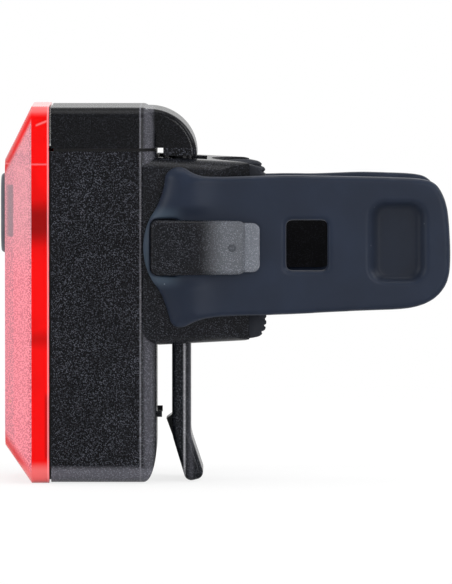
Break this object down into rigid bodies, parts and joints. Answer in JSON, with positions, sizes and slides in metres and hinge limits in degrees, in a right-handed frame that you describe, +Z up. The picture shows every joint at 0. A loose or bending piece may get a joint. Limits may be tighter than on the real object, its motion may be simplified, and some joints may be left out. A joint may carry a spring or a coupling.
{
  "type": "bicycle rear light",
  "caption": "Bicycle rear light with a frosted red lens, black housing, belt clip and push button, docked on a seatpost bracket with ribbed pad and rubber strap arms.",
  "frame": {"origin": "on the seatpost's axis, halfway up the bracket's pad", "axes": "+Z up along the seatpost, -X the way the light shines, +X past the seatpost, +Y to the far strap arm"},
  "size_m": [0.0736, 0.0407, 0.0619],
  "materials": {
    "bracket_plastic": "fine spark-eroded grain",
    "housing_plastic": "fine spark-eroded grain",
    "clip_plastic": "satin, fine grain",
    "stud_plastic": "satin",
    "strap_rubber": "dull silicone rubber",
    "pad_rubber": "dull rubber, ribbed",
    "button_rubber": "soft grey rubber",
    "seal_rubber": "black rubber",
    "red_lens": "clear red rim, frosted front",
    "pin_steel": "ground",
    "spring_steel": "nickel plated",
    "screw_steel": "zinc plated",
    "frame_plastic": "off-white, satin",
    "board_laminate": "green solder mask",
    "switch_metal": "stamped",
    "led_resin": "clear resin over phosphor",
    "reflector_chrome": "bright, vacuum plated",
    "component_plastic": "moulded",
    "cell_jacket": "plain printed sleeve"
  },
  "bodies": {
    "mount": {"bracket": "bracket_plastic", "bracket_pad": "pad_rubber", "strap_near_eye": "strap_rubber", "strap_far_eye": "strap_rubber"},
    "light": {"housing": "housing_plastic", "inner_frame": "frame_plastic", "circuit_board": "board_laminate", "board_screws": "screw_steel", "switch_case": "switch_metal", "main_led": "led_resin", "small_leds": "led_resin", "reflector": "reflector_chrome", "board_parts": "component_plastic", "battery_near": "cell_jacket", "battery_far": "cell_jacket", "battery_springs": "spring_steel", "lens": "red_lens", "lens_seal": "seal_rubber", "cap_seal": "seal_rubber"},
    "cap": {"end_cap": "housing_plastic", "clip_pin": "pin_steel", "clip_spring": "spring_steel", "contact_bridge": "spring_steel"},
    "clip": {"belt_clip": "clip_plastic"},
    "push_button": {"button": "button_rubber", "switch_plunger": "frame_plastic"},
    "near_arm": {"strap_near_arm": "strap_rubber"},
    "far_arm": {"strap_far_arm": "strap_rubber", "strap_stud": "stud_plastic"}
  },
  "joints": [
    {"name": "light_lift", "type": "slide", "parent": "mount", "child": "light", "axis": [0, 0, 1], "range_m": [0, 0.058]},
    {"name": "cap_lift", "type": "slide", "parent": "light", "child": "cap", "axis": [0, 0, 1], "range_m": [0, 0.012]},
    {"name": "clip_swing", "type": "hinge", "parent": "cap", "child": "clip", "pos_m": [-0.0216, 0, 0.01825], "axis": [0, -1, 0], "range_deg": [0, 3], "stiffness_Nm_per_rad": 0.15},
    {"name": "button_press", "type": "slide", "parent": "light", "child": "push_button", "axis": [1, 0, 0], "range_m": [0, 0.0004], "stiffness_N_per_m": 1000},
    {"name": "near_arm_bend", "type": "hinge", "parent": "mount", "child": "near_arm", "pos_m": [-0.0062, -0.0157, 0], "axis": [0, 0, 1], "range_deg": [-70, 20], "stiffness_Nm_per_rad": 0.02},
    {"name": "far_arm_bend", "type": "hinge", "parent": "mount", "child": "far_arm", "pos_m": [-0.0062, 0.0157, 0], "axis": [0, 0, -1], "range_deg": [-70, 20], "stiffness_Nm_per_rad": 0.02}
  ]
}
